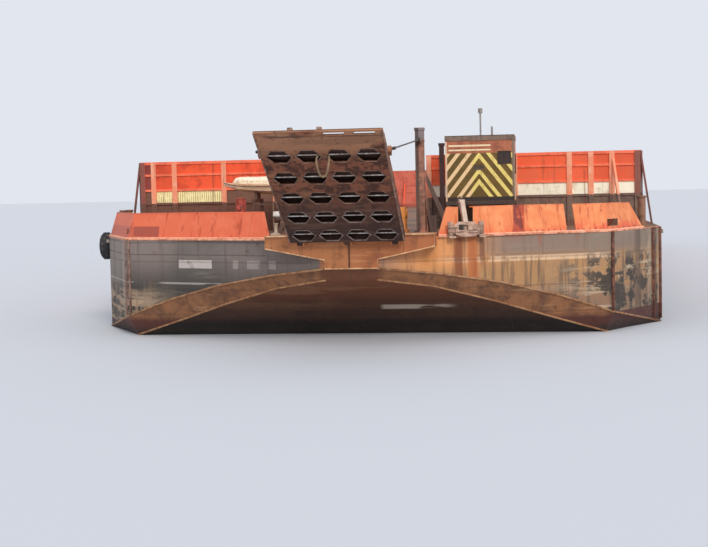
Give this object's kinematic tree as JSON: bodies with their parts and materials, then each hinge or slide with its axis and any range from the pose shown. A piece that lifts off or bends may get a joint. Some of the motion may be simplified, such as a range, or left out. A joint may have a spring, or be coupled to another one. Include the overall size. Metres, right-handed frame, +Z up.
{
  "type": "1:2 scale model of a river deck barge with a bow ramp",
  "caption": "Flat-top river barge with a raked spoon bow, hinged bow ramp on king posts, boarded cargo deck, raised deck cabin, bulwarks and tyre fenders.",
  "frame": {"origin": "on the flat bottom of the hull, amidships on the centreline", "axes": "+X to the bow, +Y to port, +Z up"},
  "size_m": [37.7301, 10.1614, 4.235],
  "materials": {
    "hull_paint": "worn flat",
    "platform_paint": "rusted flat",
    "bulwark_paint": "faded flat",
    "board_paint": "worn satin",
    "ramp_steel": "rusted",
    "deck_gear": "rusted flat",
    "cabin_paint": "chalky",
    "roof_paint": "flat",
    "galvanised": "dull zinc",
    "wire_rope": "greased wire",
    "fender_rubber": "worn rubber",
    "skiff_shell": "weathered gelcoat",
    "skiff_sheet": "canvas",
    "pump_paint": "gloss",
    "lashing_rope": "laid rope"
  },
  "bodies": {
    "barge": {"anchor": "deck_gear", "anchor_chain": "deck_gear", "bollard_bow_port": "deck_gear", "bollard_bow_starboard": "deck_gear", "bollard_mid_port": "deck_gear", "bollard_mid_starboard": "deck_gear", "bollard_quarter_port": "deck_gear", "bollard_quarter_starboard": "deck_gear", "bollard_stern_port": "deck_gear", "bollard_stern_starboard": "deck_gear", "bow_platform": "platform_paint", "bulwark_port_inner": "bulwark_paint", "bulwark_port_outer": "bulwark_paint", "bulwark_starboard": "bulwark_paint", "cabin_duct": "roof_paint", "cabin_frame": "deck_gear", "cabin_mast": "galvanised", "cabin_roof": "roof_paint", "cabin_vent": "galvanised", "cabin_walls": "cabin_paint", "deck_pump": "pump_paint", "end_wall_aft": "board_paint", "end_wall_bow_port": "board_paint", "end_wall_bow_starboard": "board_paint", "guard_rail_starboard": "galvanised", "hull": "hull_paint", "king_post_port": "deck_gear", "king_post_starboard": "deck_gear", "manhole_aft_port": "deck_gear", "manhole_aft_starboard": "deck_gear", "manhole_fore_port": "deck_gear", "manhole_fore_starboard": "deck_gear", "ramp_winch_bed": "deck_gear", "rubbing_bar_port": "hull_paint", "rubbing_bar_starboard": "hull_paint", "sideboard_port_aft": "board_paint", "sideboard_port_fore": "board_paint", "sideboard_port_mid": "board_paint", "sideboard_starboard_aft": "board_paint", "sideboard_starboard_fore": "board_paint", "sideboard_starboard_mid": "board_paint", "skeg_port": "hull_paint", "skeg_starboard": "hull_paint", "skiff": "skiff_shell", "skiff_cover": "skiff_sheet", "skiff_rack": "galvanised", "stern_bulwark": "bulwark_paint", "stern_ladder": "galvanised", "stern_light": "galvanised", "tyre_bow_starboard": "fender_rubber", "tyre_mid_port": "fender_rubber", "tyre_mid_starboard": "fender_rubber", "tyre_quarter_port": "fender_rubber", "tyre_quarter_starboard": "fender_rubber"},
    "ramp": {"ramp": "ramp_steel", "ramp_lashing": "lashing_rope"},
    "hoist_wire_port": {"hoist_wire_port": "wire_rope"},
    "hoist_wire_starboard": {"hoist_wire_starboard": "wire_rope"},
    "cabin_door": {"cabin_door": "cabin_paint"},
    "winch_drum": {"ramp_winch_drum": "deck_gear"}
  },
  "joints": [
    {"name": "ramp_hinge", "type": "hinge", "parent": "barge", "child": "ramp", "pos_m": [17.665, 0, 2.1], "axis": [0, -1, 0], "range_deg": [-45, 22]},
    {"name": "hoist_wire_port_swing", "type": "hinge", "parent": "barge", "child": "hoist_wire_port", "pos_m": [16, 0.975, 3.65], "axis": [0, -1, 0], "range_deg": [-24, 12]},
    {"name": "hoist_wire_starboard_swing", "type": "hinge", "parent": "barge", "child": "hoist_wire_starboard", "pos_m": [16, -0.975, 3.65], "axis": [0, -1, 0], "range_deg": [-24, 12]},
    {"name": "cabin_door_hinge", "type": "hinge", "parent": "barge", "child": "cabin_door", "pos_m": [13.73, 1.21215, 3.125], "axis": [0, 0, 1], "range_deg": [0, 110]},
    {"name": "winch_drum_spin", "type": "hinge", "parent": "barge", "child": "winch_drum", "pos_m": [15.15, 0, 2.45], "axis": [0, 1, 0], "continuous": true}
  ],
  "couplings": [
    {"joint": "hoist_wire_port_swing", "follows": "ramp_hinge", "ratio": 0.513},
    {"joint": "hoist_wire_starboard_swing", "follows": "ramp_hinge", "ratio": 0.513}
  ]
}
